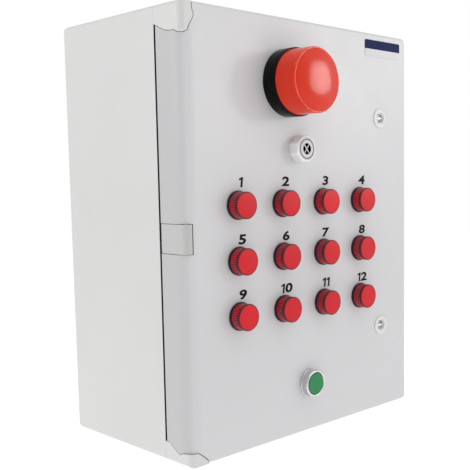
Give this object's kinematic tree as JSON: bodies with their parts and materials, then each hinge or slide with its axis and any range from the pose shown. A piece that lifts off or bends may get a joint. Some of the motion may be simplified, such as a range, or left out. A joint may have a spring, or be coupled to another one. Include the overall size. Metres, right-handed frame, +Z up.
{
  "type": "alarm annunciator panel",
  "caption": "Wall-mounted alarm panel: a hinged grey polyester box with a red beacon, panel sounder, rows of red zone lamps, a green push button and quarter-turn door locks.",
  "frame": {"origin": "centre of the back face, which is the centre of the wall-fixing holes", "axes": "+X to the right seen from the front, +Y into the wall, +Z up; the door faces -Y"},
  "size_m": [0.33, 0.246, 0.448],
  "materials": {
    "case_polyester": "fine moulded grain, satin",
    "stainless": "turned",
    "galvanised": "zinc plated",
    "terminal_grey": "moulded",
    "supply_case": "pressed sheet",
    "circuit_board": "solder mask",
    "brass_pillar": "nickel-free turned",
    "relay_blue": "moulded",
    "battery_case": "moulded",
    "gland_nylon": "moulded nylon",
    "seal_rubber": "soft foam and rubber",
    "lock_zinc": "satin die-cast",
    "beacon_black": "moulded",
    "beacon_red": "ribbed translucent",
    "sounder_grey": "moulded",
    "bezel_metal": "bright turned",
    "button_green": "moulded",
    "contact_black": "moulded",
    "lamp_block_white": "moulded",
    "lamp_red": "translucent moulded",
    "label_film": "printed film, blank"
  },
  "bodies": {
    "case": {"rear_box": "case_polyester", "hinge_pin_top": "stainless", "hinge_pin_bottom": "stainless", "hinge_pin_middle": "stainless", "hinge_block": "case_polyester", "hinge_block_screws": "stainless", "mounting_plate": "galvanised", "plate_screws": "stainless", "din_rail": "galvanised", "terminal_row": "terminal_grey", "power_supply": "supply_case", "control_board": "circuit_board", "board_pillars": "brass_pillar", "relay_bank": "relay_blue", "standby_battery": "battery_case", "battery_bracket": "galvanised", "cable_gland": "gland_nylon", "gland_locknut": "gland_nylon"},
    "door": {"door": "case_polyester", "door_gasket": "seal_rubber", "lock_housing_upper": "lock_zinc", "lock_housing_lower": "lock_zinc", "lock_nuts": "galvanised", "beacon_base": "beacon_black", "beacon_gasket": "seal_rubber", "beacon_lens": "beacon_red", "beacon_board": "circuit_board", "beacon_screws": "stainless", "sounder_body": "sounder_grey", "sounder_grille": "sounder_grey", "sounder_disc": "contact_black", "sounder_nut": "sounder_grey", "button_bezel": "bezel_metal", "button_nut": "galvanised", "contact_block": "contact_black", "label_plate": "label_film", "lamp_bodies": "contact_black", "lamp_washers": "seal_rubber", "lamp_nuts": "contact_black", "lamp_blocks": "lamp_block_white", "lamp_lens_1": "lamp_red", "lamp_lens_2": "lamp_red", "lamp_lens_3": "lamp_red", "lamp_lens_4": "lamp_red", "lamp_lens_5": "lamp_red", "lamp_lens_6": "lamp_red", "lamp_lens_7": "lamp_red", "lamp_lens_8": "lamp_red", "lamp_lens_9": "lamp_red", "lamp_lens_10": "lamp_red", "lamp_lens_11": "lamp_red", "lamp_lens_12": "lamp_red"},
    "upper_lock": {"lock_core_upper": "lock_zinc", "lock_cam_upper": "galvanised", "lock_screw_upper": "galvanised"},
    "lower_lock": {"lock_core_lower": "lock_zinc", "lock_cam_lower": "galvanised", "lock_screw_lower": "galvanised"},
    "button": {"button_cap": "button_green"}
  },
  "joints": [
    {"name": "door_hinge", "type": "hinge", "parent": "case", "child": "door", "pos_m": [-0.1585, -0.1935, 0], "axis": [0, 0, -1], "range_deg": [0, 120]},
    {"name": "upper_lock_turn", "type": "hinge", "parent": "door", "child": "upper_lock", "pos_m": [0.117, -0.2, 0.121], "axis": [0, -1, 0], "range_deg": [0, 90]},
    {"name": "lower_lock_turn", "type": "hinge", "parent": "door", "child": "lower_lock", "pos_m": [0.117, -0.2, -0.118], "axis": [0, -1, 0], "range_deg": [0, 90]},
    {"name": "button_push", "type": "slide", "parent": "door", "child": "button", "axis": [0, 1, 0], "range_m": [0, 0.0035], "stiffness_N_per_m": 500, "springref_m": -0.005}
  ]
}
